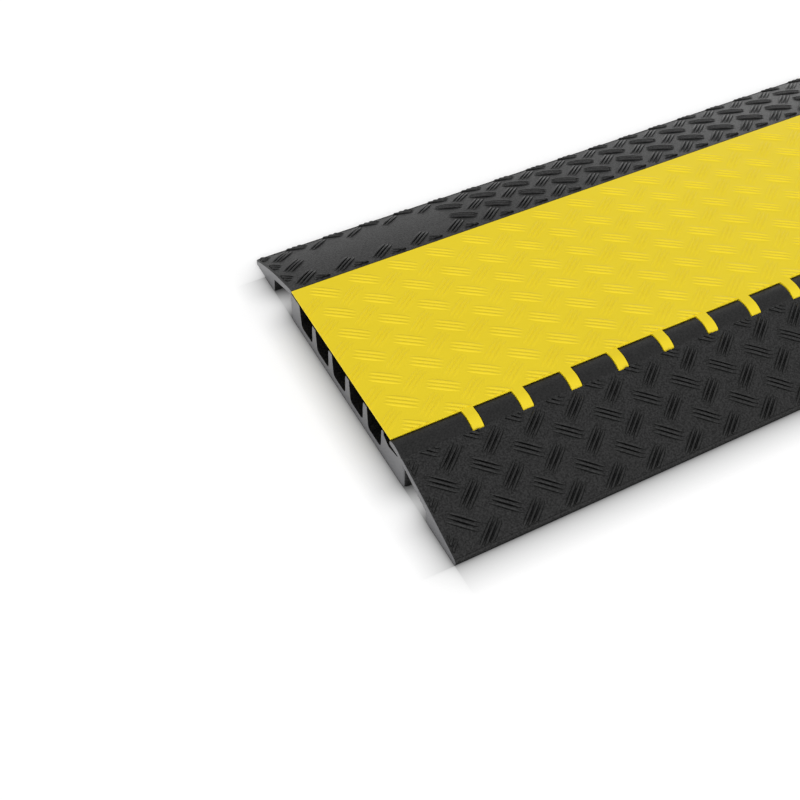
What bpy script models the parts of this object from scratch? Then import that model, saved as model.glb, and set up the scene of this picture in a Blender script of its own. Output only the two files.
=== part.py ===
"""Five-channel cable protector ramp: black base, yellow hinged lid, hinge rod and rod plug.

X runs along the ramp, Y across it towards the rear, Z up from the floor. The origin is at the middle of
the floor. All sizes are metres.
"""
import math

import bmesh
import bpy
from mathutils import Matrix
from mathutils import Vector

# Whole object
LENGTH = 0.925
WIDTH = 0.508
LID_TOP = 0.048

# Tray with its cable channels
TRAY_WIDTH = 0.291
TRAY_CORNER_RADIUS = 0.0055
CHANNEL_COUNT = 5
CHANNEL_PITCH = 0.0437
CHANNEL_TOP_WIDTH = 0.034
CHANNEL_FLOOR_WIDTH = 0.029
CHANNEL_DEPTH = 0.033
CHANNEL_CORNER_RADIUS = 0.005
MIDDLE_CHANNEL_Y = 0.0108

# Lid plate
LID_THICKNESS = 0.0044
LID_REAR_Y = 0.1373
LID_FRONT_Y = -0.1148
LID_END_CHAMFER = 0.0028
LID_LIP = 0.0016

# Hinge along the front of the lid
FINGER_TIP_Y = -0.140
FINGER_WIDTH = 0.0135
FINGER_PITCH = 0.0618
FINGER_COUNT = 13
HINGE_Y = -0.1275
HINGE_DEPTH = 0.0105
KNUCKLE_RADIUS = 0.026
KNUCKLE_CREST_Y = -0.1235
KNUCKLE_DROP = 0.0007
CREASE_Y = -0.139
ROD_DIAMETER = 0.007
ROD_LEFT_COVER = 0.030
PLUG_LENGTH = 0.014
PLUG_HEAD_DIAMETER = 0.009
PLUG_HEAD_LENGTH = 0.0025

# Recess in each end face, which undercuts the hinge barrel
RECESS_DEPTH = 0.018
RECESS_ROOF = 0.0378
RECESS_FLOOR = 0.031
RECESS_FLOOR_Y = -0.1105
RECESS_REAR_Y = -0.0992
RECESS_MOUTH_Y = -0.1128
RECESS_TIP_Y = -0.1305
RECESS_SLOPE = 0.235
RECESS_WALL = 0.001

# Ramps
NOSE_HEIGHT = 0.0055
NOSE_RADIUS = 0.003
FRONT_RAMP_BULGE = 0.0024
REAR_RAMP_BULGE = 0.0045

# Tread on the ramps: crosswise groups of raised bars, placed from the left end
BARS_PER_GROUP = 3
BAR_LENGTH = 0.030
BAR_PITCH = 0.0047
BAR_HEIGHT = 0.0019
BAR_VALLEY = 0.0002
BAR_SINK = 0.0003
BAR_END_SLOPE = 0.003
BAR_TURN = math.radians(38.5)
SHORTEST_BAR = 0.010
TREAD_PITCH = 0.05095
TREAD_MARGIN = 0.003
FRONT_ROWS = 4
FRONT_ROW_PITCH = 0.0422
FRONT_RISING_FIRST = (0.0477, -0.2429)
FRONT_FALLING_FIRST = (0.0265, -0.264)
REAR_ROWS = 4
REAR_ROW_PITCH = 0.03765
REAR_RISING_FIRST = (0.0275, 0.1565)
REAR_FALLING_FIRST = (0.0502, 0.1377)
PLAIN_PATCH_LOW = (0.046, 0.169)
PLAIN_PATCH_HIGH = (0.237, 0.230)

# Hollows under the ramps
TOE_WIDTH = 0.058
TOE_DRAFT = 0.004
RAMP_SHELL_INNER = 0.0065
RAMP_SHELL_OUTER = 0.011
POCKET_DEPTH = 0.080
CELL_COUNT = 9
RIB_THICKNESS = 0.009
CELL_WALL = 0.0085

# Clearances
SEAT_GAP = 0.0003
LID_SIDE_GAP = 0.0005
FINGER_SIDE_GAP = 0.0008
FINGER_ROUND_GAP = 0.0007
KNUCKLE_GAP = 0.0005
ROD_GAP = 0.0003

# Round shapes and cutters
RAMP_STEPS = 8
CORNER_STEPS = 4
BARREL_STEPS = 12
ROD_SEGMENTS = 24
SMOOTH_ANGLE = math.radians(30)
CUT_MARGIN = 0.010

# Sizes that follow from the ones above
HALF_LENGTH = LENGTH / 2
HALF_WIDTH = WIDTH / 2
HALF_TRAY = TRAY_WIDTH / 2
LID_UNDERSIDE = LID_TOP - LID_THICKNESS
LID_SEAT = LID_UNDERSIDE - SEAT_GAP
TRAY_FLOOR = LID_SEAT - CHANNEL_DEPTH
HINGE_Z = LID_TOP - HINGE_DEPTH
KNUCKLE_Z = LID_TOP - KNUCKLE_DROP - KNUCKLE_RADIUS
FINGER_TIP_Z = KNUCKLE_Z + math.sqrt((LID_TOP - KNUCKLE_Z) ** 2 - (FINGER_TIP_Y - KNUCKLE_CREST_Y) ** 2)
FINGER_TIP_ANGLE = math.atan2(HINGE_Y - FINGER_TIP_Y, FINGER_TIP_Z - HINGE_Z)
FINGER_RADIUS = math.hypot(HINGE_Y - FINGER_TIP_Y, FINGER_TIP_Z - HINGE_Z)
LIP_RADIUS = math.hypot(LID_FRONT_Y - HINGE_Y, LID_TOP - LID_LIP - HINGE_Z)
KNUCKLE_BACK_RADIUS = LIP_RADIUS - KNUCKLE_GAP
SLOT_RADIUS = FINGER_RADIUS + FINGER_ROUND_GAP
SLOT_FLOOR = LID_SEAT - FINGER_ROUND_GAP
BORE_RADIUS = ROD_DIAMETER / 2 + ROD_GAP
HEAD_BORE_RADIUS = PLUG_HEAD_DIAMETER / 2 + ROD_GAP
TOE_WALL = HALF_WIDTH - TOE_WIDTH
FINGER_CENTRES = [(index - (FINGER_COUNT - 1) / 2) * FINGER_PITCH for index in range(FINGER_COUNT)]


def clear_scene():
    for item in list(bpy.data.objects):
        bpy.data.objects.remove(item, do_unlink=True)


def plain_material(name, colour, roughness):
    material = bpy.data.materials.new(name)
    material.use_nodes = True
    shader = material.node_tree.nodes["Principled BSDF"]
    shader.inputs["Base Color"].default_value = (*colour, 1.0)
    shader.inputs["Roughness"].default_value = roughness
    shader.inputs["Metallic"].default_value = 0.0
    return material


def new_object(name, shape):
    mesh = bpy.data.meshes.new(name)
    bmesh.ops.recalc_face_normals(shape, faces=shape.faces)
    shape.to_mesh(mesh)
    shape.free()
    result = bpy.data.objects.new(name, mesh)
    bpy.context.scene.collection.objects.link(result)
    return result


def add_loft(shape, sections):
    """Add a solid that runs through sections with equal numbers of points."""
    rings = [[shape.verts.new(point) for point in section] for section in sections]
    shape.faces.new(rings[0])
    shape.faces.new(rings[-1])
    for first, second in zip(rings, rings[1:]):
        for index in range(len(first)):
            shape.faces.new((first[index - 1], first[index], second[index], second[index - 1]))


def add_prism(shape, outline, start_x, end_x):
    """Add a bar along X whose section is the outline of (y, z) points."""
    add_loft(shape, [[(x, y, z) for y, z in outline] for x in (start_x, end_x)])


def add_round_bar(shape, radius, start_x, end_x):
    """Add a round bar along X, centred on the hinge line."""
    turn = Matrix.Rotation(math.radians(90), 4, "Y")
    place = Matrix.Translation(((start_x + end_x) / 2, HINGE_Y, HINGE_Z))
    bmesh.ops.create_cone(shape, cap_ends=True, segments=ROD_SEGMENTS, radius1=radius, radius2=radius,
                          depth=end_x - start_x, matrix=place @ turn)


def apply_tool(target, tool, operation):
    tool.hide_render = True
    tool.display_type = "WIRE"
    step = target.modifiers.new(tool.name, "BOOLEAN")
    step.object = tool
    step.operation = operation
    step.solver = "EXACT"


def shade_round(item):
    item.data.shade_smooth()
    item.data.set_sharp_from_angle(angle=SMOOTH_ANGLE)


class RampArc:
    """Shallow arc of a ramp's top face, from its crest down to its toe, bulging upwards."""

    def __init__(self, crest, toe, bulge):
        self.crest = Vector(crest)
        self.toe = Vector(toe)
        chord = self.toe - self.crest
        self.radius = (chord.length_squared / 4 + bulge ** 2) / (2 * bulge)
        upward = Vector((-chord.y, chord.x)).normalized()
        if upward.y < 0:
            upward.negate()
        self.centre = (self.crest + self.toe) / 2 - upward * (self.radius - bulge)

    def height(self, y):
        return self.centre.y + math.sqrt(self.radius ** 2 - (y - self.centre.x) ** 2)

    def points(self):
        """Points from the crest to the toe, evenly spaced across the ramp."""
        run = self.toe.x - self.crest.x
        across = [self.crest.x + run * step / RAMP_STEPS for step in range(RAMP_STEPS + 1)]
        return [(y, self.height(y)) for y in across]


def rounded_corner(before, corner, after, radius):
    """Points of a fillet that replaces one corner of an outline."""
    corner = Vector(corner)
    first = (Vector(before) - corner).normalized()
    second = (Vector(after) - corner).normalized()
    half_angle = first.angle(second) / 2
    centre = corner + (first + second).normalized() * (radius / math.sin(half_angle))
    start = corner + first * (radius / math.tan(half_angle)) - centre
    end = corner + second * (radius / math.tan(half_angle)) - centre
    sweep = start.angle_signed(end)
    turned = []
    for step in range(CORNER_STEPS + 1):
        angle = -sweep * step / CORNER_STEPS
        cosine = math.cos(angle)
        sine = math.sin(angle)
        spoke = Vector((start.x * cosine - start.y * sine, start.x * sine + start.y * cosine))
        turned.append(tuple(centre + spoke))
    return turned


def barrel_point(radius, angle):
    """Point on a circle round the hinge line. The angle runs from straight up towards the front."""
    return (HINGE_Y - radius * math.sin(angle), HINGE_Z + radius * math.cos(angle))


def barrel_points(radius, start_angle, end_angle):
    turn = end_angle - start_angle
    angles = [start_angle + turn * step / BARREL_STEPS for step in range(BARREL_STEPS + 1)]
    return [barrel_point(radius, angle) for angle in angles]


def dome_height(radius, y):
    """Level of a shallow dome along the hinge barrel."""
    return KNUCKLE_Z + math.sqrt(radius ** 2 - (y - KNUCKLE_CREST_Y) ** 2)


def knuckle_height(y):
    return dome_height(KNUCKLE_RADIUS, y)


def knuckle_rear_y():
    """Place where the dome meets the round back of the barrel, along which the lid's front edge swings."""
    back_centre = Vector((HINGE_Y, HINGE_Z))
    apart = Vector((KNUCKLE_CREST_Y, KNUCKLE_Z)) - back_centre
    along = (KNUCKLE_BACK_RADIUS ** 2 - KNUCKLE_RADIUS ** 2 + apart.length_squared) / (2 * apart.length)
    aside = math.sqrt(KNUCKLE_BACK_RADIUS ** 2 - along ** 2)
    direction = apart.normalized()
    return back_centre.x + along * direction.x - aside * direction.y


def knuckle_points():
    """Top of the hinge barrel, from the lid's seat to the crease where the front ramp begins."""
    rear = knuckle_rear_y()
    seat_angle = -math.acos((LID_SEAT - HINGE_Z) / KNUCKLE_BACK_RADIUS)
    rear_angle = -math.asin((rear - HINGE_Y) / KNUCKLE_BACK_RADIUS)
    back = barrel_points(KNUCKLE_BACK_RADIUS, seat_angle, rear_angle)
    across = [rear + (CREASE_Y - rear) * step / BARREL_STEPS for step in range(1, BARREL_STEPS + 1)]
    return back + [(y, knuckle_height(y)) for y in across]


def front_ramp():
    return RampArc((CREASE_Y, knuckle_height(CREASE_Y)), (-HALF_WIDTH, NOSE_HEIGHT), FRONT_RAMP_BULGE)


def rear_ramp():
    return RampArc((LID_REAR_Y + LID_SIDE_GAP, LID_TOP), (HALF_WIDTH, NOSE_HEIGHT), REAR_RAMP_BULGE)


def nose_points(ramp):
    """Ramp top from crest to toe, with its rounded nose, ending on the floor."""
    top = ramp.points()
    toe = top[-1]
    foot = (toe[0], 0.0)
    return top[:-1] + rounded_corner(top[-2], toe, foot, NOSE_RADIUS) + [foot]


def channel_points(centre):
    """One channel, walked from its rear top edge over its floor to its front top edge."""
    rear_top = (centre + CHANNEL_TOP_WIDTH / 2, LID_SEAT)
    front_top = (centre - CHANNEL_TOP_WIDTH / 2, LID_SEAT)
    rear_floor = (centre + CHANNEL_FLOOR_WIDTH / 2, TRAY_FLOOR)
    front_floor = (centre - CHANNEL_FLOOR_WIDTH / 2, TRAY_FLOOR)
    points = [rear_top]
    points += rounded_corner(rear_top, rear_floor, front_floor, CHANNEL_CORNER_RADIUS)
    points += rounded_corner(rear_floor, front_floor, front_top, CHANNEL_CORNER_RADIUS)
    points.append(front_top)
    return points


def base_outline():
    """Whole section of the base before its hollows and slots are cut, walked from rear to front."""
    rear_top = nose_points(rear_ramp())
    outline = list(reversed(rear_top))
    outline.append((LID_REAR_Y + LID_SIDE_GAP, LID_SEAT))
    for index in range(CHANNEL_COUNT):
        centre = MIDDLE_CHANNEL_Y + ((CHANNEL_COUNT - 1) / 2 - index) * CHANNEL_PITCH
        outline += channel_points(centre)
    outline += knuckle_points()
    outline += nose_points(front_ramp())[1:]
    return outline


def hollow_outline(ramp, side, inner_wall):
    """Section of a hollow under one ramp: side is -1 at the front and 1 at the rear."""
    toe_top = TOE_WALL - TOE_DRAFT
    tray_height = ramp.height(side * HALF_TRAY) - RAMP_SHELL_INNER
    outer_height = ramp.height(side * toe_top) - RAMP_SHELL_OUTER
    fall = (tray_height - outer_height) / (toe_top - HALF_TRAY)
    inner_height = outer_height + fall * (toe_top - inner_wall)
    foot = TOE_WALL + TOE_DRAFT * CUT_MARGIN / outer_height
    return [
        (side * inner_wall, -CUT_MARGIN),
        (side * inner_wall, inner_height),
        (side * toe_top, outer_height),
        (side * foot, -CUT_MARGIN),
    ]


def pocket_sections(ramp, side, end):
    """Sections of a pocket from outside the ramp's end inwards, round the upright corner of the tray."""
    inner_walls = [HALF_TRAY - TRAY_CORNER_RADIUS]
    places = [HALF_LENGTH + CUT_MARGIN]
    for step in range(CORNER_STEPS + 1):
        angle = math.pi / 2 * step / CORNER_STEPS
        inner_walls.append(HALF_TRAY - TRAY_CORNER_RADIUS * (1 - math.sin(angle)))
        places.append(HALF_LENGTH - TRAY_CORNER_RADIUS * (1 - math.cos(angle)))
    inner_walls.append(HALF_TRAY)
    places.append(HALF_LENGTH - POCKET_DEPTH)
    sections = []
    for place, inner_wall in zip(places, inner_walls):
        sections.append([(end * place, y, z) for y, z in hollow_outline(ramp, side, inner_wall)])
    return sections


def ramp_hollows():
    """Deep pockets at the four ramp ends and a row of cells between them, all open underneath."""
    shape = bmesh.new()
    inner_start = -HALF_LENGTH + POCKET_DEPTH
    cell_pitch = (LENGTH - 2 * POCKET_DEPTH - RIB_THICKNESS) / CELL_COUNT
    for ramp, side in ((front_ramp(), -1), (rear_ramp(), 1)):
        for end in (-1, 1):
            add_loft(shape, pocket_sections(ramp, side, end))
        cell = hollow_outline(ramp, side, HALF_TRAY + CELL_WALL)
        for index in range(CELL_COUNT):
            start = inner_start + RIB_THICKNESS + index * cell_pitch
            add_prism(shape, cell, start, start + cell_pitch - RIB_THICKNESS)
    return new_object("ramp_hollows", shape)


def bar_reach(middle, direction, low, high):
    """How far a bar runs each way along its direction before it leaves the tread's rectangle."""
    start = -BAR_LENGTH / 2
    end = BAR_LENGTH / 2
    for axis in (0, 1):
        crossings = [(edge[axis] - middle[axis]) / direction[axis] for edge in (low, high)]
        start = max(start, min(crossings))
        end = min(end, max(crossings))
    return start, end


def add_bar_group(shape, ramp, middle, direction, start, end):
    """Add a group of bars: ridges side by side with low valleys between them, sunk into the ramp."""
    aside = Vector((-direction.y, direction.x))

    def corner(along, across, rise):
        spot = middle + direction * along + aside * (across * BAR_PITCH)
        return shape.verts.new((spot.x, spot.y, ramp.height(spot.y) + rise))

    half_width = BARS_PER_GROUP / 2
    lines = []
    for foot, top in ((start, start + BAR_END_SLOPE), (end, end - BAR_END_SLOPE)):
        line = [corner(foot, -half_width, -BAR_SINK)]
        for index in range(1, 2 * BARS_PER_GROUP):
            rise = BAR_HEIGHT if index % 2 else BAR_VALLEY
            line.append(corner(top, index / 2 - half_width, rise))
        line.append(corner(foot, half_width, -BAR_SINK))
        lines.append(line)
        for ridge in range(1, len(line), 2):
            shape.faces.new(line[ridge - 1:ridge + 2])
        for valley in range(2, len(line) - 1, 2):
            shape.faces.new((line[0], line[valley], line[valley + 2]))
    first, second = lines
    for index in range(len(first)):
        shape.faces.new((first[index - 1], first[index], second[index], second[index - 1]))


def in_plain_patch(spot):
    """Whether a spot lies in the patch of the rear ramp that has no tread."""
    low, high = PLAIN_PATCH_LOW, PLAIN_PATCH_HIGH
    return low[0] < spot.x + HALF_LENGTH < high[0] and low[1] < spot.y < high[1]


def add_tread_rows(shape, ramp, first, turn, rows, low, high):
    """Add rows of bar groups, all turned the same way, cut short at the edges of a rectangle."""
    row_count, row_pitch = rows
    direction = Vector((math.cos(turn), math.sin(turn)))
    aside = Vector((-direction.y, direction.x)) * (BAR_PITCH * BARS_PER_GROUP / 2)
    columns = math.ceil(LENGTH / TREAD_PITCH) + 1
    for column in range(-1, columns):
        for row in range(row_count):
            middle = Vector((column * TREAD_PITCH - HALF_LENGTH, row * row_pitch)) + Vector(first)
            reaches = [bar_reach(middle + shift, direction, low, high) for shift in (-aside, aside)]
            start = max(reach[0] for reach in reaches)
            end = min(reach[1] for reach in reaches)
            if end - start > SHORTEST_BAR and not in_plain_patch(middle):
                add_bar_group(shape, ramp, middle, direction, start, end)


def ramp_tread(name, front_first, rear_first, turn):
    """All bars of both ramps that are turned the same way."""
    shape = bmesh.new()
    end = HALF_LENGTH - TREAD_MARGIN
    toe = HALF_WIDTH - NOSE_RADIUS - TREAD_MARGIN
    front_low = (-end, -toe)
    front_high = (end, CREASE_Y - TREAD_MARGIN)
    rear_low = (-end, LID_REAR_Y + 2 * TREAD_MARGIN)
    rear_high = (end, toe)
    front_rows = (FRONT_ROWS, FRONT_ROW_PITCH)
    rear_rows = (REAR_ROWS, REAR_ROW_PITCH)
    add_tread_rows(shape, front_ramp(), front_first, turn, front_rows, front_low, front_high)
    add_tread_rows(shape, rear_ramp(), rear_first, turn, rear_rows, rear_low, rear_high)
    return new_object(name, shape)


def slot_outline():
    """Section of a finger slot: round about the hinge line below and flat under the lid plate. Its front
    edge at the foot of the barrel is where the open lid comes to rest."""
    cut_top = LID_TOP + CUT_MARGIN
    floor_angle = 2 * math.pi - math.acos((SLOT_FLOOR - HINGE_Z) / SLOT_RADIUS)
    outline = barrel_points(SLOT_RADIUS, FINGER_TIP_ANGLE, floor_angle)
    outline.insert(0, (outline[0][0], cut_top))
    outline += [(HINGE_Y + LIP_RADIUS, SLOT_FLOOR), (HINGE_Y + LIP_RADIUS, cut_top)]
    return outline


def finger_slots():
    shape = bmesh.new()
    half = FINGER_WIDTH / 2 + FINGER_SIDE_GAP
    for centre in FINGER_CENTRES:
        add_prism(shape, slot_outline(), centre - half, centre + half)
    return new_object("finger_slots", shape)


def recess_outline(tip_y):
    """Section of an end recess: open under the lid and running to a thin tip under the hinge barrel."""
    tip_floor = RECESS_FLOOR + RECESS_SLOPE * (RECESS_FLOOR_Y - tip_y)
    return [
        (RECESS_REAR_Y, LID_TOP),
        (RECESS_REAR_Y, RECESS_ROOF),
        (RECESS_FLOOR_Y, RECESS_FLOOR),
        (tip_y, tip_floor),
        (tip_y, RECESS_ROOF),
        (RECESS_MOUTH_Y, RECESS_ROOF),
        (RECESS_MOUTH_Y, LID_TOP),
    ]


def end_recesses():
    """Recesses in the end faces. The right one is shorter, because it stays behind the rod plug."""
    shape = bmesh.new()
    right_tip_y = HINGE_Y + HEAD_BORE_RADIUS + RECESS_WALL
    add_prism(shape, recess_outline(RECESS_TIP_Y), -HALF_LENGTH - CUT_MARGIN, -HALF_LENGTH + RECESS_DEPTH)
    add_prism(shape, recess_outline(right_tip_y), HALF_LENGTH - RECESS_DEPTH, HALF_LENGTH + CUT_MARGIN)
    return new_object("end_recesses", shape)


def base_bore():
    """Bore of the hinge rod, blind at the left end and open at the right."""
    shape = bmesh.new()
    start = -HALF_LENGTH + ROD_LEFT_COVER - ROD_GAP
    add_round_bar(shape, BORE_RADIUS, start, HALF_LENGTH + CUT_MARGIN)
    return new_object("base_bore", shape)


def plug_head_bore():
    shape = bmesh.new()
    start = HALF_LENGTH - PLUG_HEAD_LENGTH - ROD_GAP
    add_round_bar(shape, HEAD_BORE_RADIUS, start, HALF_LENGTH + CUT_MARGIN)
    return new_object("plug_head_bore", shape)


def make_base(material):
    """Tray, ramps and hinge knuckles in one black moulding."""
    shape = bmesh.new()
    add_prism(shape, base_outline(), -HALF_LENGTH, HALF_LENGTH)
    base = new_object("base", shape)
    shade_round(base)
    rising = ramp_tread("rising_bars", FRONT_RISING_FIRST, REAR_RISING_FIRST, BAR_TURN)
    falling = ramp_tread("falling_bars", FRONT_FALLING_FIRST, REAR_FALLING_FIRST, -BAR_TURN)
    for tread in (rising, falling):
        apply_tool(base, tread, "UNION")
    for tool in (ramp_hollows(), finger_slots(), end_recesses(), base_bore(), plug_head_bore()):
        apply_tool(base, tool, "DIFFERENCE")
    base.data.materials.append(material)
    return base


def lid_outline():
    """Section of the lid through a finger: the flat plate runs into a dome just above the knuckles, which
    ends at the tip of a round eye with a flat back."""
    reach = FINGER_TIP_Y - KNUCKLE_CREST_Y
    across = [KNUCKLE_CREST_Y + reach * step / BARREL_STEPS for step in range(BARREL_STEPS)]
    dome = [(y, dome_height(LID_TOP - KNUCKLE_Z, y)) for y in across]
    finger_back = HINGE_Y + math.sqrt(FINGER_RADIUS ** 2 - (LID_UNDERSIDE - HINGE_Z) ** 2)
    back_angle = math.pi + math.asin((finger_back - HINGE_Y) / FINGER_RADIUS)
    eye = barrel_points(FINGER_RADIUS, FINGER_TIP_ANGLE, back_angle)
    plate = [(LID_REAR_Y, LID_UNDERSIDE), (LID_REAR_Y, LID_TOP)]
    return plate + dome + eye + [(finger_back, LID_UNDERSIDE)]


def knuckle_gaps():
    """Spaces between the fingers, where the lid ends at a straight front lip, cut back underneath."""
    shape = bmesh.new()
    half = FINGER_WIDTH / 2
    front = FINGER_TIP_Y - CUT_MARGIN
    undercut = HINGE_Y + math.sqrt(LIP_RADIUS ** 2 - (LID_UNDERSIDE - HINGE_Z) ** 2)
    outline = [
        (front, -CUT_MARGIN),
        (undercut, -CUT_MARGIN),
        (undercut, LID_UNDERSIDE),
        (LID_FRONT_Y, LID_TOP - LID_LIP),
        (LID_FRONT_Y, LID_TOP + CUT_MARGIN),
        (front, LID_TOP + CUT_MARGIN),
    ]
    starts = [-HALF_LENGTH - CUT_MARGIN] + [centre + half for centre in FINGER_CENTRES]
    ends = [centre - half for centre in FINGER_CENTRES] + [HALF_LENGTH + CUT_MARGIN]
    for start, end in zip(starts, ends):
        add_prism(shape, outline, start, end)
    return new_object("knuckle_gaps", shape)


def lid_end_chamfers():
    """Slanted relief under both ends of the lid plate."""
    shape = bmesh.new()
    for side in (-1, 1):
        reach = CUT_MARGIN + LID_END_CHAMFER
        inner = (side * (HALF_LENGTH + CUT_MARGIN - reach), LID_UNDERSIDE - CUT_MARGIN)
        low = (side * (HALF_LENGTH + CUT_MARGIN), LID_UNDERSIDE - CUT_MARGIN)
        high = (side * (HALF_LENGTH + CUT_MARGIN), LID_UNDERSIDE + reach)
        edge = (side * (HALF_LENGTH - LID_END_CHAMFER), LID_UNDERSIDE)
        outline = (inner, low, high, edge)
        ends = (LID_FRONT_Y - CUT_MARGIN, LID_REAR_Y + CUT_MARGIN)
        add_loft(shape, [[(x, y, z) for x, z in outline] for y in ends])
    return new_object("lid_end_chamfers", shape)


def lid_bore():
    shape = bmesh.new()
    add_round_bar(shape, BORE_RADIUS, -HALF_LENGTH, HALF_LENGTH)
    return new_object("lid_bore", shape)


def make_lid(material):
    """Yellow tread plate with its row of hinge fingers. Its origin is on the hinge line."""
    shape = bmesh.new()
    add_prism(shape, lid_outline(), -HALF_LENGTH, HALF_LENGTH)
    bmesh.ops.translate(shape, verts=shape.verts, vec=(0, -HINGE_Y, -HINGE_Z))
    lid = new_object("lid", shape)
    lid.location = (0, HINGE_Y, HINGE_Z)
    shade_round(lid)
    for tool in (knuckle_gaps(), lid_end_chamfers(), lid_bore()):
        apply_tool(lid, tool, "DIFFERENCE")
    lid.data.materials.append(material)
    return lid


def make_hinge_rod(material):
    shape = bmesh.new()
    start = -HALF_LENGTH + ROD_LEFT_COVER
    end = HALF_LENGTH - PLUG_LENGTH - ROD_GAP
    add_round_bar(shape, ROD_DIAMETER / 2, start, end)
    rod = new_object("hinge_rod", shape)
    shade_round(rod)
    rod.data.materials.append(material)
    return rod


def make_rod_plug(material):
    """Headed plug that closes the open end of the rod's bore, flush with the end face."""
    shape = bmesh.new()
    shank_start = HALF_LENGTH - PLUG_LENGTH
    shank_end = HALF_LENGTH - PLUG_HEAD_LENGTH / 2
    head_start = HALF_LENGTH - PLUG_HEAD_LENGTH
    add_round_bar(shape, ROD_DIAMETER / 2, shank_start, shank_end)
    plug = new_object("rod_plug", shape)
    head = bmesh.new()
    add_round_bar(head, PLUG_HEAD_DIAMETER / 2, head_start, HALF_LENGTH)
    apply_tool(plug, new_object("plug_head", head), "UNION")
    shade_round(plug)
    plug.data.materials.append(material)
    return plug


def main():
    clear_scene()
    black = plain_material("black_polyurethane", (0.022, 0.022, 0.023), 0.55)
    yellow = plain_material("yellow_polyurethane", (0.73, 0.58, 0.02), 0.42)
    fibre = plain_material("glass_fibre_rod", (0.55, 0.53, 0.45), 0.5)
    plug_black = plain_material("black_plug", (0.03, 0.03, 0.03), 0.6)
    base = make_base(black)
    lid = make_lid(yellow)
    rod = make_hinge_rod(fibre)
    plug = make_rod_plug(plug_black)
    for piece in (lid, rod, plug):
        piece.parent = base


main()
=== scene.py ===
import math

import bmesh
import bpy
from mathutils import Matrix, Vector


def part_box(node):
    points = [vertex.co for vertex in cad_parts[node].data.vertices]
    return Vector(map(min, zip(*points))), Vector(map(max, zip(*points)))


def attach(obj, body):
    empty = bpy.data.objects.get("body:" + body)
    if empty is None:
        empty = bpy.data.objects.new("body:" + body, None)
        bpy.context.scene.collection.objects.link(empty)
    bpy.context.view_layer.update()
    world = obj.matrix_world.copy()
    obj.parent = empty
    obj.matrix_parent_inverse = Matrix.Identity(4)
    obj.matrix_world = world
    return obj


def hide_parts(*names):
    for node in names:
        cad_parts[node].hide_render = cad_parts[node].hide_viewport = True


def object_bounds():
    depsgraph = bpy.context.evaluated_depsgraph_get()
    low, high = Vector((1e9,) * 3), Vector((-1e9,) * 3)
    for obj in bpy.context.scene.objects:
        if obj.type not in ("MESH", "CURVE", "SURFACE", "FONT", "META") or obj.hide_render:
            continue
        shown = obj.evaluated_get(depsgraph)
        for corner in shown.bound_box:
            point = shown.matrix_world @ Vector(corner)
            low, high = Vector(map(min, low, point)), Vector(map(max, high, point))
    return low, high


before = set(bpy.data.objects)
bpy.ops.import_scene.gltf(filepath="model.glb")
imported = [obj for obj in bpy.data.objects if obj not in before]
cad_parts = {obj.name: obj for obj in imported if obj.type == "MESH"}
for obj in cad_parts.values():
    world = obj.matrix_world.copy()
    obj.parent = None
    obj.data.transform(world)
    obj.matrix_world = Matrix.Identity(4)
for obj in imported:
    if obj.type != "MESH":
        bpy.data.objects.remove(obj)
solid_low, solid_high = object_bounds()


# Base: one heavy black moulding with the cable tray in its middle, a ramp along each side and the row
# of hinge knuckles in front of the lid. It is cast from polyurethane in a closed mould, so its outer
# edges are rounded, its top has the fine grain of the mould and its end faces are smooth. The whole
# moulding is one black, but it is drawn in painted tones: mid grey on the end faces as a painted
# reflection, and darker in the channels, the finger gaps and on the knuckles as painted shade.
MILLIMETRE = 0.001
MERGE_DISTANCE = 0.005 * MILLIMETRE
FLAT_ANGLE = math.radians(0.2)
SHARP_ANGLE = math.radians(40)
SMOOTH_ANGLE = math.radians(38)

FRONT_END_ROUND = 1.2 * MILLIMETRE
REAR_END_ROUND = 2.3 * MILLIMETRE
POCKET_MOUTH_ROUND = 4.5 * MILLIMETRE
WEB_TOP_ROUND = 5.0 * MILLIMETRE
CHANNEL_MOUTH_ROUND = 1.0 * MILLIMETRE
KNUCKLE_END_ROUND = 0.7 * MILLIMETRE
MOULD_EDGE_ROUND = 0.35 * MILLIMETRE
WIDE_ROUND_STEPS = 3
FINE_ROUND_STEPS = 2

CREASE_Y = -139.0 * MILLIMETRE
REAR_CREST_GAP = 1.0 * MILLIMETRE
KNUCKLE_REAR_Y = -113.6 * MILLIMETRE
KNUCKLE_FOOT_Z = 38.5 * MILLIMETRE
CHANNEL_REACH = 118.0 * MILLIMETRE
CHANNEL_FOOT = 1.0 * MILLIMETRE
CHANNEL_TOP = 42.5 * MILLIMETRE
WEB_REACH = 95.0 * MILLIMETRE
POCKET_ROOF_FOOT = 0.7 * MILLIMETRE
NOSE_GROOVE_PLACE = 2.0 * MILLIMETRE
NOSE_GROOVE_HALF = 0.9 * MILLIMETRE
NOSE_GROOVE_DEPTH = 1.5 * MILLIMETRE

# Shares of a face's normal that tell which way it looks.
END_FACE_SLOPE = 0.9
END_RIM_SLOPE = 0.45
ACROSS_SLOPE = 0.5
BARREL_SLOPE = 0.1
TOP_SLOPE = 0.3
ROOF_SLOPE = 0.3
UNDERCUT_SLOPE = 0.05

base_low, base_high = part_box("base")
lid_low, lid_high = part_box("lid")
rear_crest_y = lid_high.y + REAR_CREST_GAP


def linear(hex_colour):
    """Turn an sRGB hex colour into linear red, green, blue and alpha, by the sRGB standard's curve."""
    parts = [int(hex_colour[start:start + 2], 16) / 255 for start in (1, 3, 5)]
    curved = [part / 12.92 if part <= 0.04045 else ((part + 0.055) / 1.055) ** 2.4 for part in parts]
    return curved + [1.0]


def add_node(tree, kind, settings, links):
    """Add a node, set its properties and sockets by name, and link its inputs to other outputs."""
    node = tree.nodes.new(kind)
    for name, value in settings.items():
        if name in node.inputs:
            node.inputs[name].default_value = value
        else:
            setattr(node, name, value)
    for name, output in links.items():
        tree.links.new(output, node.inputs[name])
    return node


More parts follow.
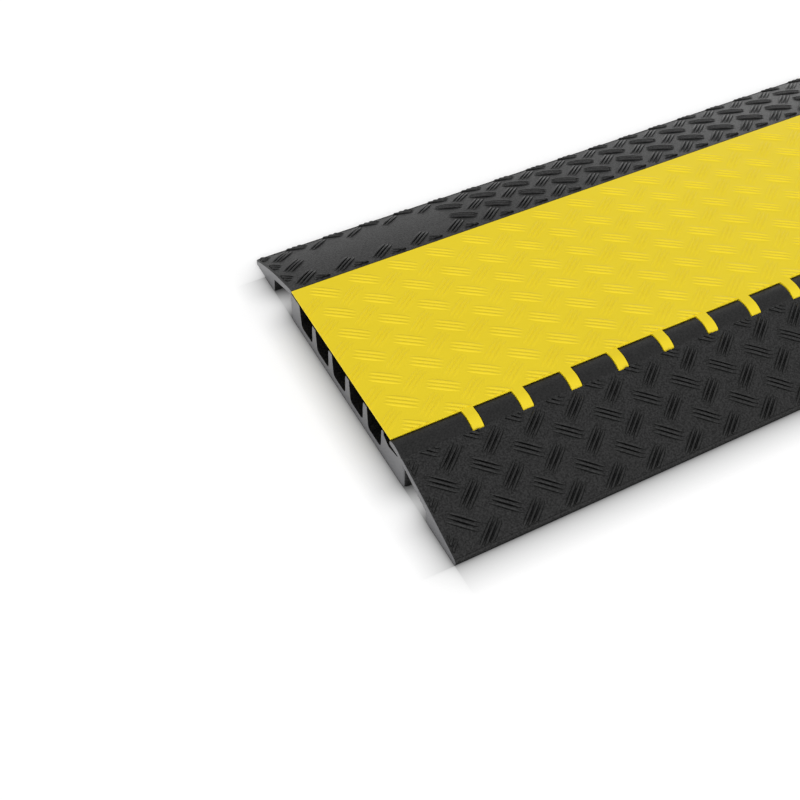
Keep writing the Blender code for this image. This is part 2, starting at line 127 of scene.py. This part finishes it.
def merged_copy(node_name, piece_name):
    """Copy a solid, join its loose triangles into one skin and leave it open for edge work."""
    bpy.ops.object.select_all(action="DESELECT")
    piece = bpy.data.objects.new(piece_name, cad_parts[node_name].data.copy())
    bpy.context.scene.collection.objects.link(piece)
    piece.data.materials.clear()
    piece.select_set(True)
    bpy.context.view_layer.objects.active = piece
    bpy.ops.mesh.customdata_custom_splitnormals_clear()
    bpy.ops.object.mode_set(mode="EDIT")
    bpy.ops.mesh.select_mode(type="EDGE")
    bpy.ops.mesh.select_all(action="SELECT")
    bpy.ops.mesh.remove_doubles(threshold=MERGE_DISTANCE)
    return piece


def join_flat_faces():
    """Join the flat neighbours of the piece that is open in edit mode."""
    bpy.ops.mesh.select_all(action="SELECT")
    bpy.ops.mesh.dissolve_limited(angle_limit=FLAT_ANGLE)


def round_edges(piece, wanted, width, steps):
    """Round the edges of the piece, open in edit mode, for which wanted gives a true answer."""
    mesh = bmesh.from_edit_mesh(piece.data)
    bpy.ops.mesh.select_all(action="DESELECT")
    for edge in mesh.edges:
        edge.select_set(bool(wanted(edge)))
    bmesh.update_edit_mesh(piece.data)
    bpy.ops.mesh.bevel(offset=width, segments=steps, affect="EDGES", clamp_overlap=False)


def at_base_end(point):
    return abs(abs(point.co.x) - base_high.x) < MERGE_DISTANCE


def lies_at_end(edge):
    return all(at_base_end(point) for point in edge.verts)


def middle_of(edge):
    return (edge.verts[0].co + edge.verts[1].co) / 2


def on_ramp(place):
    return place.y < CREASE_Y or place.y > rear_crest_y


def on_knuckle(place):
    return CREASE_Y < place.y < KNUCKLE_REAR_Y and place.z > KNUCKLE_FOOT_Z


def press_tread_flat(piece):
    """Lower the solid's plain tread bars into the ramps, whose levels are read off the left end."""
    mesh = bmesh.from_edit_mesh(piece.data)
    steps = []
    for point in mesh.verts:
        on_top = any(face.normal.z > TOP_SLOPE for face in point.link_faces)
        if at_base_end(point) and point.co.x < 0 and on_top:
            steps.append((point.co.y, point.co.z))
    steps.sort()
    for point in mesh.verts:
        if on_ramp(point.co) and not at_base_end(point):
            for (near_y, near_z), (far_y, far_z) in zip(steps, steps[1:]):
                if near_y < point.co.y <= far_y:
                    share = (point.co.y - near_y) / (far_y - near_y)
                    point.co.z = min(point.co.z, near_z + (far_z - near_z) * share)


def is_outer_end(edge):
    """An edge between an end face and a face that looks up or outwards."""
    outside = any(abs(face.normal.x) < ACROSS_SLOPE and face.normal.z > -UNDERCUT_SLOPE
                  for face in edge.link_faces)
    return lies_at_end(edge) and outside


def is_front_end(edge):
    """An edge between an end face and the outside of the front ramp or the knuckles."""
    middle = middle_of(edge)
    return is_outer_end(edge) and (middle.y < CREASE_Y or on_knuckle(middle))


def is_rear_end(edge):
    """An edge between an end face and the outside of the rear ramp."""
    front_most = min(point.co.y for point in edge.verts)
    return is_outer_end(edge) and front_most > rear_crest_y - MERGE_DISTANCE


def is_pocket_mouth(edge):
    """An edge between an end face and the roof of the pocket under a ramp."""
    middle = middle_of(edge)
    roof = any(face.normal.z < -ROOF_SLOPE and abs(face.normal.x) < ACROSS_SLOPE
               for face in edge.link_faces)
    return lies_at_end(edge) and roof and on_ramp(middle) and middle.z > POCKET_ROOF_FOOT


def is_web_top(edge):
    """An edge between an end face and the top of a web that parts two channels."""
    middle = middle_of(edge)
    return lies_at_end(edge) and abs(middle.y) < WEB_REACH and middle.z > CHANNEL_TOP


def is_channel_mouth(edge):
    """An edge between an end face and the inside of a cable channel."""
    inside = any(abs(face.normal.x) < ACROSS_SLOPE and face.normal.z > 0 for face in edge.link_faces)
    return lies_at_end(edge) and inside and abs(middle_of(edge).y) < WEB_REACH


def is_knuckle_end(edge):
    """An edge between the back of a knuckle and the slot of one of the lid's fingers."""
    slopes = sorted(abs(face.normal.x) for face in edge.link_faces)
    inner = on_knuckle(middle_of(edge)) and not at_base_end(edge.verts[0])
    return inner and slopes[0] < BARREL_SLOPE and slopes[-1] > END_FACE_SLOPE


def is_sharp(edge):
    return edge.is_manifold and edge.calc_face_angle() > SHARP_ANGLE


def cut_nose_groove(piece, groove_y):
    """Cut a fine groove along the top of a toe of the piece, which is open in edit mode."""
    for place in (groove_y - NOSE_GROOVE_HALF, groove_y, groove_y + NOSE_GROOVE_HALF):
        bpy.ops.mesh.select_all(action="SELECT")
        bpy.ops.mesh.bisect(plane_co=(0, place, 0), plane_no=(0, 1, 0))
    mesh = bmesh.from_edit_mesh(piece.data)
    for point in mesh.verts:
        if abs(point.co.y - groove_y) < MERGE_DISTANCE and point.co.z > NOSE_GROOVE_DEPTH:
            point.co.z -= NOSE_GROOVE_DEPTH
    bmesh.update_edit_mesh(piece.data)


def shade_moulding(piece):
    """Shade a finished moulding so that its rounds are smooth and its wide faces stay flat."""
    bpy.ops.object.mode_set(mode="OBJECT")
    bpy.ops.object.shade_smooth_by_angle(angle=SMOOTH_ANGLE)
    flat = piece.modifiers.new("flat_faces", "WEIGHTED_NORMAL")
    flat.keep_sharp = True
    bpy.ops.object.modifier_apply(modifier=flat.name)


base = merged_copy("base", "base_moulding")
press_tread_flat(base)
join_flat_faces()
round_edges(base, is_front_end, FRONT_END_ROUND, WIDE_ROUND_STEPS)
round_edges(base, is_rear_end, REAR_END_ROUND, WIDE_ROUND_STEPS)
round_edges(base, is_pocket_mouth, POCKET_MOUTH_ROUND, WIDE_ROUND_STEPS)
round_edges(base, is_web_top, WEB_TOP_ROUND, WIDE_ROUND_STEPS)
round_edges(base, is_channel_mouth, CHANNEL_MOUTH_ROUND, FINE_ROUND_STEPS)
round_edges(base, is_knuckle_end, KNUCKLE_END_ROUND, FINE_ROUND_STEPS)
round_edges(base, is_sharp, MOULD_EDGE_ROUND, FINE_ROUND_STEPS)
cut_nose_groove(base, base_low.y + NOSE_GROOVE_PLACE)
cut_nose_groove(base, base_high.y - NOSE_GROOVE_PLACE)
shade_moulding(base)

BLACK_GRAIN_SIZE = 1.9 * MILLIMETRE


def black_polyurethane(name, colour, grain_height, roughness, sheen):
    """Black cast polyurethane: dark and satin, with a mould grain whose facets glitter a little
    between the two sheens. The grain is drawn coarse, so that it shows from a few steps away."""
    material = bpy.data.materials.new(name)
    material.use_nodes = True
    tree = material.node_tree
    shader = tree.nodes["Principled BSDF"]
    shader.inputs["Base Color"].default_value = linear(colour)
    shader.inputs["Roughness"].default_value = roughness
    place = add_node(tree, "ShaderNodeTexCoord", {}, {})
    grain = add_node(tree, "ShaderNodeTexNoise",
                     {"Scale": 1 / BLACK_GRAIN_SIZE, "Detail": 2.0, "Roughness": 0.6},
                     {"Vector": place.outputs["Object"]})
    glitter = add_node(tree, "ShaderNodeMapRange",
                       {"From Min": 0.35, "From Max": 0.65, "To Min": sheen[0], "To Max": sheen[1]},
                       {"Value": grain.outputs["Fac"]})
    relief = add_node(tree, "ShaderNodeBump", {"Strength": 1.0, "Distance": grain_height},
                      {"Height": grain.outputs["Fac"]})
    tree.links.new(glitter.outputs["Result"], shader.inputs["Specular IOR Level"])
    tree.links.new(relief.outputs["Normal"], shader.inputs["Normal"])
    return material


grained_black = black_polyurethane("grained_black_polyurethane", colour="#121212",
                                   grain_height=0.35 * MILLIMETRE, roughness=0.5, sheen=(0.16, 0.47))
# Painted reflection: the end faces and the rounded rim of the front ramp's end are painted mid grey,
# for the white floor they mirror, though the moulding is black throughout.
end_grey_painted_light = black_polyurethane("smooth_end_grey_painted_reflection", colour="#5f5f61",
                               grain_height=0.03 * MILLIMETRE, roughness=0.32, sheen=(0.4, 0.6))
# Painted shade: the faces inside the channels and the knuckles' faces in the finger gaps are painted
# near black and matt, for the shade in these recesses.
channel_painted_shade_black = black_polyurethane("matt_channel_painted_shade", colour="#0a0a0a",
                                   grain_height=0.1 * MILLIMETRE, roughness=0.8, sheen=(0.0, 0.2))
# Painted shade: the knuckles are smoother than the ramp and painted a shade darker than it.
knuckle_painted_shade_black = black_polyurethane("smooth_knuckle_painted_shade", colour="#0d0d0d",
                                   grain_height=0.05 * MILLIMETRE, roughness=0.42, sheen=(0.2, 0.35))
base_blacks = [grained_black, end_grey_painted_light, channel_painted_shade_black, knuckle_painted_shade_black]
for material in base_blacks:
    base.data.materials.append(material)
# Each face gets its painted tone: mid grey at the ends and the front rim as painted reflection; near
# black inside the channels and in the knuckles' finger gaps, and a little darker on the knuckles, both
# as painted shade.
for face in base.data.polygons:
    turned = abs(face.normal.x)
    at_end = abs(face.center.x) > base_high.x - FRONT_END_ROUND
    on_front_rim = face.center.y < CREASE_Y and turned > END_RIM_SLOPE
    in_channel = abs(face.center.y) < CHANNEL_REACH and CHANNEL_FOOT < face.center.z < CHANNEL_TOP
    if at_end and (turned > END_FACE_SLOPE or on_front_rim):
        face.material_index = base_blacks.index(end_grey_painted_light)
    elif in_channel or on_knuckle(face.center) and turned > END_FACE_SLOPE:
        face.material_index = base_blacks.index(channel_painted_shade_black)
    elif on_knuckle(face.center):
        face.material_index = base_blacks.index(knuckle_painted_shade_black)
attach(base, "base")
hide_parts("base")


# Ramp tread: groups of three raised bars, set crosswise in turn, cast in one with the ramps so that
# tyres and shoes grip. Each bar is a slim lens with a rounded back, smoother than the ramp and painted
# a shade darker than it as a painted shade.
BAR_CUTS = 5
BAR_SINK = 0.12
BAR_END_WIDTH = 0.25
BAR_SHOULDER_WIDTH = 0.56
BAR_BACK_WIDTH = 0.2
BAR_SHOULDER_HEIGHT = 0.6
BAR_END_FALL = 1.15
BAR_END_CURVE = 3
CUBE_HALF = 0.5
CUBE_QUARTER = 0.25
GROUP_SIZE = 3
RAMP_BAR_LENGTH = 39 * MILLIMETRE
RAMP_BAR_WIDTH = 4.7 * MILLIMETRE
RAMP_BAR_HEIGHT = 2.7 * MILLIMETRE
RAMP_BAR_PITCH = 4.7 * MILLIMETRE
RAMP_BAR_TURN = math.radians(38.5)
TREAD_PITCH = 50.95 * MILLIMETRE
TREAD_COLUMNS = 20
TREAD_END_MARGIN = 3.5 * MILLIMETRE
TOE_MARGIN = 3.0 * MILLIMETRE
LOOK_DOWN_HEIGHT = 100 * MILLIMETRE

FRONT_ROW_PITCH = 42.2 * MILLIMETRE
FRONT_RISING_ROWS = 3
FRONT_RISING_FIRST = Vector((47.7, -242.9, 0)) * MILLIMETRE
FRONT_FALLING_ROWS = 4
FRONT_FALLING_FIRST = Vector((26.5, -264.0, 0)) * MILLIMETRE
FRONT_TREAD_TOP = -141.5 * MILLIMETRE

REAR_ROW_PITCH = 37.65 * MILLIMETRE
REAR_RISING_ROWS = 3
REAR_RISING_FIRST = Vector((27.5, 156.5, 0)) * MILLIMETRE
REAR_FALLING_ROWS = 4
REAR_FALLING_FIRST = Vector((50.2, 137.7, 0)) * MILLIMETRE
REAR_TREAD_TOP = 143.5 * MILLIMETRE
PLAIN_PATCH_LOW = Vector((46, 169, 0)) * MILLIMETRE
PLAIN_PATCH_HIGH = Vector((237, 230, 0)) * MILLIMETRE

left_end = Vector((base_low.x, 0, 0))


def tread_bar(length, width, height):
    """One raised bar on the level, its middle at the origin, shaped from a cut-up cube."""
    bpy.ops.object.select_all(action="DESELECT")
    bpy.ops.mesh.primitive_cube_add(size=1)
    bar = bpy.context.object
    bpy.ops.object.mode_set(mode="EDIT")
    bpy.ops.mesh.select_mode(type="EDGE")
    for axis, cuts in ((0, BAR_CUTS), (2, 1)):
        mesh = bmesh.from_edit_mesh(bar.data)
        for edge in mesh.edges:
            first, second = edge.verts
            edge.select_set(abs(first.co[axis] - second.co[axis]) > CUBE_HALF)
        bpy.ops.mesh.subdivide(number_cuts=cuts)
    mesh = bmesh.from_edit_mesh(bar.data)
    for point in mesh.verts:
        along = 2 * point.co.x
        spread = BAR_END_WIDTH + (1 - BAR_END_WIDTH) * math.sqrt(max(0.0, 1 - along ** 2))
        fall = 1 - BAR_END_FALL * abs(along) ** BAR_END_CURVE
        if point.co.z > CUBE_QUARTER:
            spread *= BAR_BACK_WIDTH
            level = height * fall
        elif point.co.z > -CUBE_QUARTER:
            spread *= BAR_SHOULDER_WIDTH
            level = height * fall * BAR_SHOULDER_HEIGHT
        else:
            level = -BAR_SINK * height
        point.co = (point.co.x * length, point.co.y * width * spread, level)
    bmesh.update_edit_mesh(bar.data)
    bpy.ops.object.mode_set(mode="OBJECT")
    return bar


def repeat(piece, count, offset):
    """Repeat a piece in a straight row."""
    row = piece.modifiers.new("row", "ARRAY")
    row.count = count
    row.use_relative_offset = False
    row.use_constant_offset = True
    row.constant_offset_displace = offset
    bpy.context.view_layer.objects.active = piece
    bpy.ops.object.modifier_apply(modifier=row.name)


def tread_field(bar_sizes, pitch, turn, first, rows, row_pitch):
    """Rows of bar groups, all turned the same way. The rows start one group before the first group,
    whose middle is given from the left end."""
    field = tread_bar(*bar_sizes)
    repeat(field, GROUP_SIZE, (0, pitch, 0))
    bpy.ops.object.mode_set(mode="EDIT")
    bpy.ops.mesh.select_all(action="SELECT")
    bpy.ops.transform.translate(value=(0, -pitch * (GROUP_SIZE - 1) / 2, 0))
    bpy.ops.transform.rotate(value=-turn, orient_axis="Z", center_override=(0, 0, 0))
    bpy.ops.transform.translate(value=left_end + first - Vector((TREAD_PITCH, 0, 0)))
    bpy.ops.object.mode_set(mode="OBJECT")
    repeat(field, TREAD_COLUMNS, (TREAD_PITCH, 0, 0))
    repeat(field, rows, (0, row_pitch, 0))
    return field


def leave_plain(field, rows, low, high):
    """Delete the bars of a whole field whose middles lie in a rectangle."""
    bpy.ops.object.mode_set(mode="EDIT")
    bpy.ops.mesh.select_mode(type="VERT")
    bpy.ops.mesh.select_all(action="DESELECT")
    mesh = bmesh.from_edit_mesh(field.data)
    points = list(mesh.verts)
    bar_points = len(points) // (GROUP_SIZE * TREAD_COLUMNS * rows)
    for start in range(0, len(points), bar_points):
        bar = points[start:start + bar_points]
        middle = sum((point.co for point in bar), Vector()) / bar_points
        if low.x < middle.x < high.x and low.y < middle.y < high.y:
            for point in bar:
                point.select_set(True)
    bpy.ops.mesh.delete(type="VERT")
    bpy.ops.object.mode_set(mode="OBJECT")


def join_pieces(name, pieces):
    bpy.ops.object.select_all(action="DESELECT")
    for piece in pieces:
        piece.select_set(True)
    bpy.context.view_layer.objects.active = pieces[0]
    bpy.ops.object.join()
    pieces[0].name = name
    return pieces[0]


def trim(piece, low, high):
    """Cut a level piece off at a rectangle, with its cut ends closed."""
    bpy.ops.object.mode_set(mode="EDIT")
    sides = ((low, (-1, 0, 0)), (low, (0, -1, 0)), (high, (1, 0, 0)), (high, (0, 1, 0)))
    for corner, outward in sides:
        bpy.ops.mesh.select_all(action="SELECT")
        bpy.ops.mesh.bisect(plane_co=corner, plane_no=outward, use_fill=True, clear_outer=True)
    bpy.ops.object.mode_set(mode="OBJECT")


def lay_on(piece, ground):
    """Lift every point of a level piece by the height of the ground under it."""
    bpy.context.view_layer.update()
    for point in piece.data.vertices:
        above = (point.co.x, point.co.y, solid_high.z + LOOK_DOWN_HEIGHT)
        found, spot, normal, face = ground.ray_cast(above, (0, 0, -1))
        point.co.z += spot.z


ramp_bar = (RAMP_BAR_LENGTH, RAMP_BAR_WIDTH, RAMP_BAR_HEIGHT)
# Painted shade: the bars are painted a shade darker than the ramp, for the shade on their flanks.
bar_painted_shade_black = black_polyurethane("smooth_bar_painted_shade", colour="#101010",
                                  grain_height=0.06 * MILLIMETRE, roughness=0.4, sheen=(0.2, 0.42))

front_rising = tread_field(ramp_bar, RAMP_BAR_PITCH, RAMP_BAR_TURN,
                           FRONT_RISING_FIRST, FRONT_RISING_ROWS, FRONT_ROW_PITCH)
front_falling = tread_field(ramp_bar, RAMP_BAR_PITCH, -RAMP_BAR_TURN,
                            FRONT_FALLING_FIRST, FRONT_FALLING_ROWS, FRONT_ROW_PITCH)
front_tread = join_pieces("front_ramp_tread", [front_rising, front_falling])
trim(front_tread, (base_low.x + TREAD_END_MARGIN, base_low.y + TOE_MARGIN, 0),
     (base_high.x - TREAD_END_MARGIN, FRONT_TREAD_TOP, 0))
lay_on(front_tread, base)

plain_low = left_end + PLAIN_PATCH_LOW
plain_high = left_end + PLAIN_PATCH_HIGH
rear_rising = tread_field(ramp_bar, RAMP_BAR_PITCH, RAMP_BAR_TURN,
                          REAR_RISING_FIRST, REAR_RISING_ROWS, REAR_ROW_PITCH)
leave_plain(rear_rising, REAR_RISING_ROWS, plain_low, plain_high)
rear_falling = tread_field(ramp_bar, RAMP_BAR_PITCH, -RAMP_BAR_TURN,
                           REAR_FALLING_FIRST, REAR_FALLING_ROWS, REAR_ROW_PITCH)
leave_plain(rear_falling, REAR_FALLING_ROWS, plain_low, plain_high)
rear_tread = join_pieces("rear_ramp_tread", [rear_rising, rear_falling])
trim(rear_tread, (base_low.x + TREAD_END_MARGIN, REAR_TREAD_TOP, 0),
     (base_high.x - TREAD_END_MARGIN, base_high.y - TOE_MARGIN, 0))
lay_on(rear_tread, base)

for tread in (front_tread, rear_tread):
    bpy.ops.object.select_all(action="DESELECT")
    tread.select_set(True)
    bpy.context.view_layer.objects.active = tread
    bpy.ops.object.shade_smooth()
    tread.data.materials.append(bar_painted_shade_black)
    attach(tread, "base")


# Hinge rod: a plain pultruded rod of glass fibre and resin, pushed through the knuckles and the lid's
# fingers from the right end. Its long fibres show as fine pale streaks.
FIBRE_LENGTH = 60 * MILLIMETRE
FIBRE_WIDTH = 0.5 * MILLIMETRE
FIBRE_RELIEF = 0.1 * MILLIMETRE
FIBRE_ROUGHNESS = 0.42
FIBRE_REFRACTION = 1.52

fibre = bpy.data.materials.new("pultruded_glass_fibre")
fibre.use_nodes = True
tree = fibre.node_tree
shader = tree.nodes["Principled BSDF"]
place = add_node(tree, "ShaderNodeTexCoord", {}, {})
stretch = add_node(tree, "ShaderNodeMapping",
                   {"Scale": (1 / FIBRE_LENGTH, 1 / FIBRE_WIDTH, 1 / FIBRE_WIDTH)},
                   {"Vector": place.outputs["Object"]})
streaks = add_node(tree, "ShaderNodeTexNoise", {"Scale": 1.0, "Detail": 3.0},
                   {"Vector": stretch.outputs["Vector"]})
tint = add_node(tree, "ShaderNodeMixRGB", {"Color1": linear("#a89f86"), "Color2": linear("#d3ccb4")},
                {"Fac": streaks.outputs["Fac"]})
relief = add_node(tree, "ShaderNodeBump", {"Strength": 0.4, "Distance": FIBRE_RELIEF},
                  {"Height": streaks.outputs["Fac"]})
tree.links.new(tint.outputs["Color"], shader.inputs["Base Color"])
tree.links.new(relief.outputs["Normal"], shader.inputs["Normal"])
shader.inputs["Roughness"].default_value = FIBRE_ROUGHNESS
shader.inputs["IOR"].default_value = FIBRE_REFRACTION
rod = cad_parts["hinge_rod"]
rod.data.materials.clear()
rod.data.materials.append(fibre)


# Rod plug: a small headed plug of black plastic that is pressed into the open end of the rod's bore
# and keeps the rod from walking out.
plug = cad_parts["rod_plug"]
plug.data.materials.clear()
plug.data.materials.append(black_polyurethane("moulded_black_plug", colour="#2e2e2e",
                                              grain_height=0.05 * MILLIMETRE, roughness=0.45,
                                              sheen=(0.4, 0.6)))


# Lid: a yellow plate over the channels, cast from polyurethane in one piece with the thirteen fingers
# that hang on the hinge rod. It lifts at the rear edge.
LID_EDGE_ROUND = 0.5 * MILLIMETRE
LID_CLOUD_SIZE = 70 * MILLIMETRE
LID_GRAIN_SIZE = 1.5 * MILLIMETRE
LID_GRAIN_HEIGHT = 0.12 * MILLIMETRE
LID_ROUGHNESS = 0.45
LID_SHEEN = 0.3

lid = merged_copy("lid", "lid_moulding")
join_flat_faces()
round_edges(lid, is_sharp, LID_EDGE_ROUND, FINE_ROUND_STEPS)
shade_moulding(lid)

yellow = bpy.data.materials.new("yellow_polyurethane")
yellow.use_nodes = True
tree = yellow.node_tree
shader = tree.nodes["Principled BSDF"]
place = add_node(tree, "ShaderNodeTexCoord", {}, {})
cloud = add_node(tree, "ShaderNodeTexNoise", {"Scale": 1 / LID_CLOUD_SIZE, "Detail": 4.0},
                 {"Vector": place.outputs["Object"]})
grain = add_node(tree, "ShaderNodeTexNoise", {"Scale": 1 / LID_GRAIN_SIZE, "Detail": 2.0},
                 {"Vector": place.outputs["Object"]})
tint = add_node(tree, "ShaderNodeMixRGB", {"Color1": linear("#e2c816"), "Color2": linear("#e7ce1e")},
                {"Fac": cloud.outputs["Fac"]})
relief = add_node(tree, "ShaderNodeBump", {"Strength": 0.35, "Distance": LID_GRAIN_HEIGHT},
                  {"Height": grain.outputs["Fac"]})
tree.links.new(tint.outputs["Color"], shader.inputs["Base Color"])
tree.links.new(relief.outputs["Normal"], shader.inputs["Normal"])
shader.inputs["Roughness"].default_value = LID_ROUGHNESS
shader.inputs["Specular IOR Level"].default_value = LID_SHEEN
lid.data.materials.append(yellow)
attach(lid, "lid")
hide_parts("lid")


# Lid tread: the same crosswise groups of three bars as on the ramps, but lower and softer, cast in one
# with the lid and cut short where they meet its edges.
LID_BAR_LENGTH = 41.0 * MILLIMETRE
LID_BAR_WIDTH = 5.2 * MILLIMETRE
LID_BAR_HEIGHT = 0.95 * MILLIMETRE
LID_BAR_PITCH = 5.2 * MILLIMETRE
LID_BAR_TURN = math.radians(36)
LID_ROW_PITCH = 38.41 * MILLIMETRE
LID_RISING_ROWS = 6
LID_RISING_FIRST = Vector((9.25, -93.5, 0)) * MILLIMETRE
LID_FALLING_ROWS = 7
LID_FALLING_FIRST = Vector((34.7, -112.8, 0)) * MILLIMETRE
LID_TREAD_MARGIN = 1.5 * MILLIMETRE
LID_FRONT_EDGE = -114.8 * MILLIMETRE

lid_bar = (LID_BAR_LENGTH, LID_BAR_WIDTH, LID_BAR_HEIGHT)
lid_rising = tread_field(lid_bar, LID_BAR_PITCH, LID_BAR_TURN,
                         LID_RISING_FIRST, LID_RISING_ROWS, LID_ROW_PITCH)
lid_falling = tread_field(lid_bar, LID_BAR_PITCH, -LID_BAR_TURN,
                          LID_FALLING_FIRST, LID_FALLING_ROWS, LID_ROW_PITCH)
lid_tread = join_pieces("lid_tread", [lid_rising, lid_falling])
trim(lid_tread, (lid_low.x + LID_TREAD_MARGIN, LID_FRONT_EDGE + LID_TREAD_MARGIN, 0),
     (lid_high.x - LID_TREAD_MARGIN, lid_high.y - LID_TREAD_MARGIN, 0))
lay_on(lid_tread, lid)
bpy.ops.object.shade_smooth_by_angle(angle=SMOOTH_ANGLE)
lid_tread.data.materials.append(yellow)
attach(lid_tread, "lid")


# Floor: a wide, plain white studio sheet. A little of its own light lifts it to white for the eye, and
# it is painted darker towards the ramp's footprint, where little light would reach, but less so at the
# open pockets.
FLOOR_SIZE = 14.0
FLOOR_DROP = 0.2 * MILLIMETRE
PAPER_ROUGHNESS = 0.9
PAPER_GLOW = 0.22
SHADOW_REACH = 44 * MILLIMETRE
SHADOW_SOFTNESS = 0.33
REAR_SHADOW_EDGE = 225 * MILLIMETRE
POCKET_MIDDLE = 170 * MILLIMETRE
POCKET_SPREAD = 36 * MILLIMETRE
POCKET_LIGHT = 0.68


def distance_from(tree, value, middle):
    """How far a coordinate is from a middle, to either side."""
    apart = add_node(tree, "ShaderNodeMath", {"operation": "SUBTRACT"}, {0: value})
    apart.inputs[1].default_value = middle
    distance = add_node(tree, "ShaderNodeMath", {"operation": "ABSOLUTE"}, {0: apart.outputs["Value"]})
    return distance.outputs["Value"]


def light_past(tree, distance, edge):
    """The floor's light, which comes back with the distance past an edge of the ramp's footprint."""
    past = add_node(tree, "ShaderNodeMapRange", {"From Min": edge, "From Max": edge + SHADOW_REACH},
                    {"Value": distance})
    light = add_node(tree, "ShaderNodeMath", {"operation": "POWER"}, {0: past.outputs["Result"]})
    light.inputs[1].default_value = SHADOW_SOFTNESS
    return light.outputs["Value"]


def seen_by_eye(tree):
    """One for a ray from the camera, from a gloss or through a clear piece, and nought for the rest."""
    path = add_node(tree, "ShaderNodeLightPath", {}, {})
    seen = add_node(tree, "ShaderNodeMath", {"operation": "MAXIMUM"},
                    {0: path.outputs["Is Camera Ray"], 1: path.outputs["Is Glossy Ray"]})
    seen = add_node(tree, "ShaderNodeMath", {"operation": "MAXIMUM"},
                    {0: seen.outputs["Value"], 1: path.outputs["Is Transmission Ray"]})
    return seen.outputs["Value"]


bpy.ops.object.select_all(action="DESELECT")
bpy.ops.mesh.primitive_plane_add(size=FLOOR_SIZE, location=(0, 0, -FLOOR_DROP))
floor = bpy.context.object
floor.name = "studio_floor"
paper = bpy.data.materials.new("white_paper")
paper.use_nodes = True
tree = paper.node_tree
shader = tree.nodes["Principled BSDF"]
shader.inputs["Roughness"].default_value = PAPER_ROUGHNESS
shader.inputs["Specular IOR Level"].default_value = 0.0
place = add_node(tree, "ShaderNodeTexCoord", {}, {})
spot = add_node(tree, "ShaderNodeSeparateXYZ", {}, {"Vector": place.outputs["Object"]})

shadow_middle = (base_low.y + REAR_SHADOW_EDGE) / 2
past_middle = distance_from(tree, spot.outputs["Y"], shadow_middle)
end_light = light_past(tree, distance_from(tree, spot.outputs["X"], 0), base_high.x)
side_light = light_past(tree, past_middle, REAR_SHADOW_EDGE - shadow_middle)
ramp_side = distance_from(tree, distance_from(tree, spot.outputs["Y"], 0), POCKET_MIDDLE)
pocket_light = add_node(tree, "ShaderNodeMapRange",
                        {"interpolation_type": "SMOOTHSTEP", "From Min": POCKET_SPREAD,
                         "From Max": 0.0, "To Max": POCKET_LIGHT},
                        {"Value": ramp_side})
shade = add_node(tree, "ShaderNodeMixRGB", {"blend_type": "SCREEN", "Fac": 1.0},
                 {"Color1": end_light, "Color2": side_light})
shade = add_node(tree, "ShaderNodeMixRGB", {"blend_type": "SCREEN", "Fac": 1.0},
                 {"Color1": shade.outputs["Color"], "Color2": pocket_light.outputs["Result"]})
tone = add_node(tree, "ShaderNodeMixRGB", {"Color1": linear("#000000"), "Color2": linear("#f0f0f0")},
                {"Fac": shade.outputs["Color"]})
glow = add_node(tree, "ShaderNodeMapRange", {"To Min": 0.0, "To Max": PAPER_GLOW},
                {"Value": seen_by_eye(tree)})
tree.links.new(tone.outputs["Color"], shader.inputs["Base Color"])
tree.links.new(tone.outputs["Color"], shader.inputs["Emission Color"])
tree.links.new(glow.outputs["Result"], shader.inputs["Emission Strength"])
floor.data.materials.append(paper)


# Studio light: a wide white surround that is bright in front on the left and falls off to the right
# and behind, and that the eye and every gloss see as white at least. A soft panel low down behind on
# the right glances along the ramps.
SURROUND_BRIGHT = 1.9
SURROUND_DARK = 0.05
BRIGHT_SIDE = math.radians(226)
HALF_EACH_WAY = (0.5, 0.5, 0.5)
PANEL_PLACE = Vector((2.7, 2.7, 0.5))
PANEL_SIZE = 1.0
PANEL_POWER = 10

world = bpy.data.worlds.new("studio_surround")
bpy.context.scene.world = world
world.use_nodes = True
tree = world.node_tree
surround = tree.nodes["Background"]
surround.inputs["Color"].default_value = linear("#ffffff")
place = add_node(tree, "ShaderNodeTexCoord", {}, {})
turned = add_node(tree, "ShaderNodeMapping",
                  {"Location": HALF_EACH_WAY, "Scale": HALF_EACH_WAY, "Rotation": (0, 0, -BRIGHT_SIDE)},
                  {"Vector": place.outputs["Generated"]})
fade = add_node(tree, "ShaderNodeTexGradient", {}, {"Vector": turned.outputs["Vector"]})
level = add_node(tree, "ShaderNodeMapRange", {"To Min": SURROUND_DARK, "To Max": SURROUND_BRIGHT},
                 {"Value": fade.outputs["Fac"]})
level = add_node(tree, "ShaderNodeMath", {"operation": "MAXIMUM"},
                 {0: level.outputs["Result"], 1: seen_by_eye(tree)})
tree.links.new(level.outputs["Value"], surround.inputs["Strength"])

bpy.ops.object.light_add(type="AREA", location=PANEL_PLACE)
panel = bpy.context.object
panel.name = "soft_panel"
panel.rotation_euler = PANEL_PLACE.to_track_quat("Z", "Y").to_euler()
panel.data.size = PANEL_SIZE
panel.data.energy = PANEL_POWER


# Camera: a 50 mm lens above the left front corner, which leaves the right end of the ramp out of view.
CAMERA_PLACE = (-0.79326, -0.76793, 0.93755)
CAMERA_TILT = math.radians(41.465)
CAMERA_TURN = math.radians(-27.651)
SENSOR_WIDTH = 36
LENS_LENGTH = 50.04

bpy.ops.object.camera_add(location=CAMERA_PLACE, rotation=(CAMERA_TILT, 0, CAMERA_TURN))
camera = bpy.context.object
camera.data.sensor_width = SENSOR_WIDTH
camera.data.lens = LENS_LENGTH
bpy.context.scene.camera = camera
bpy.context.scene.view_settings.view_transform = "Standard"
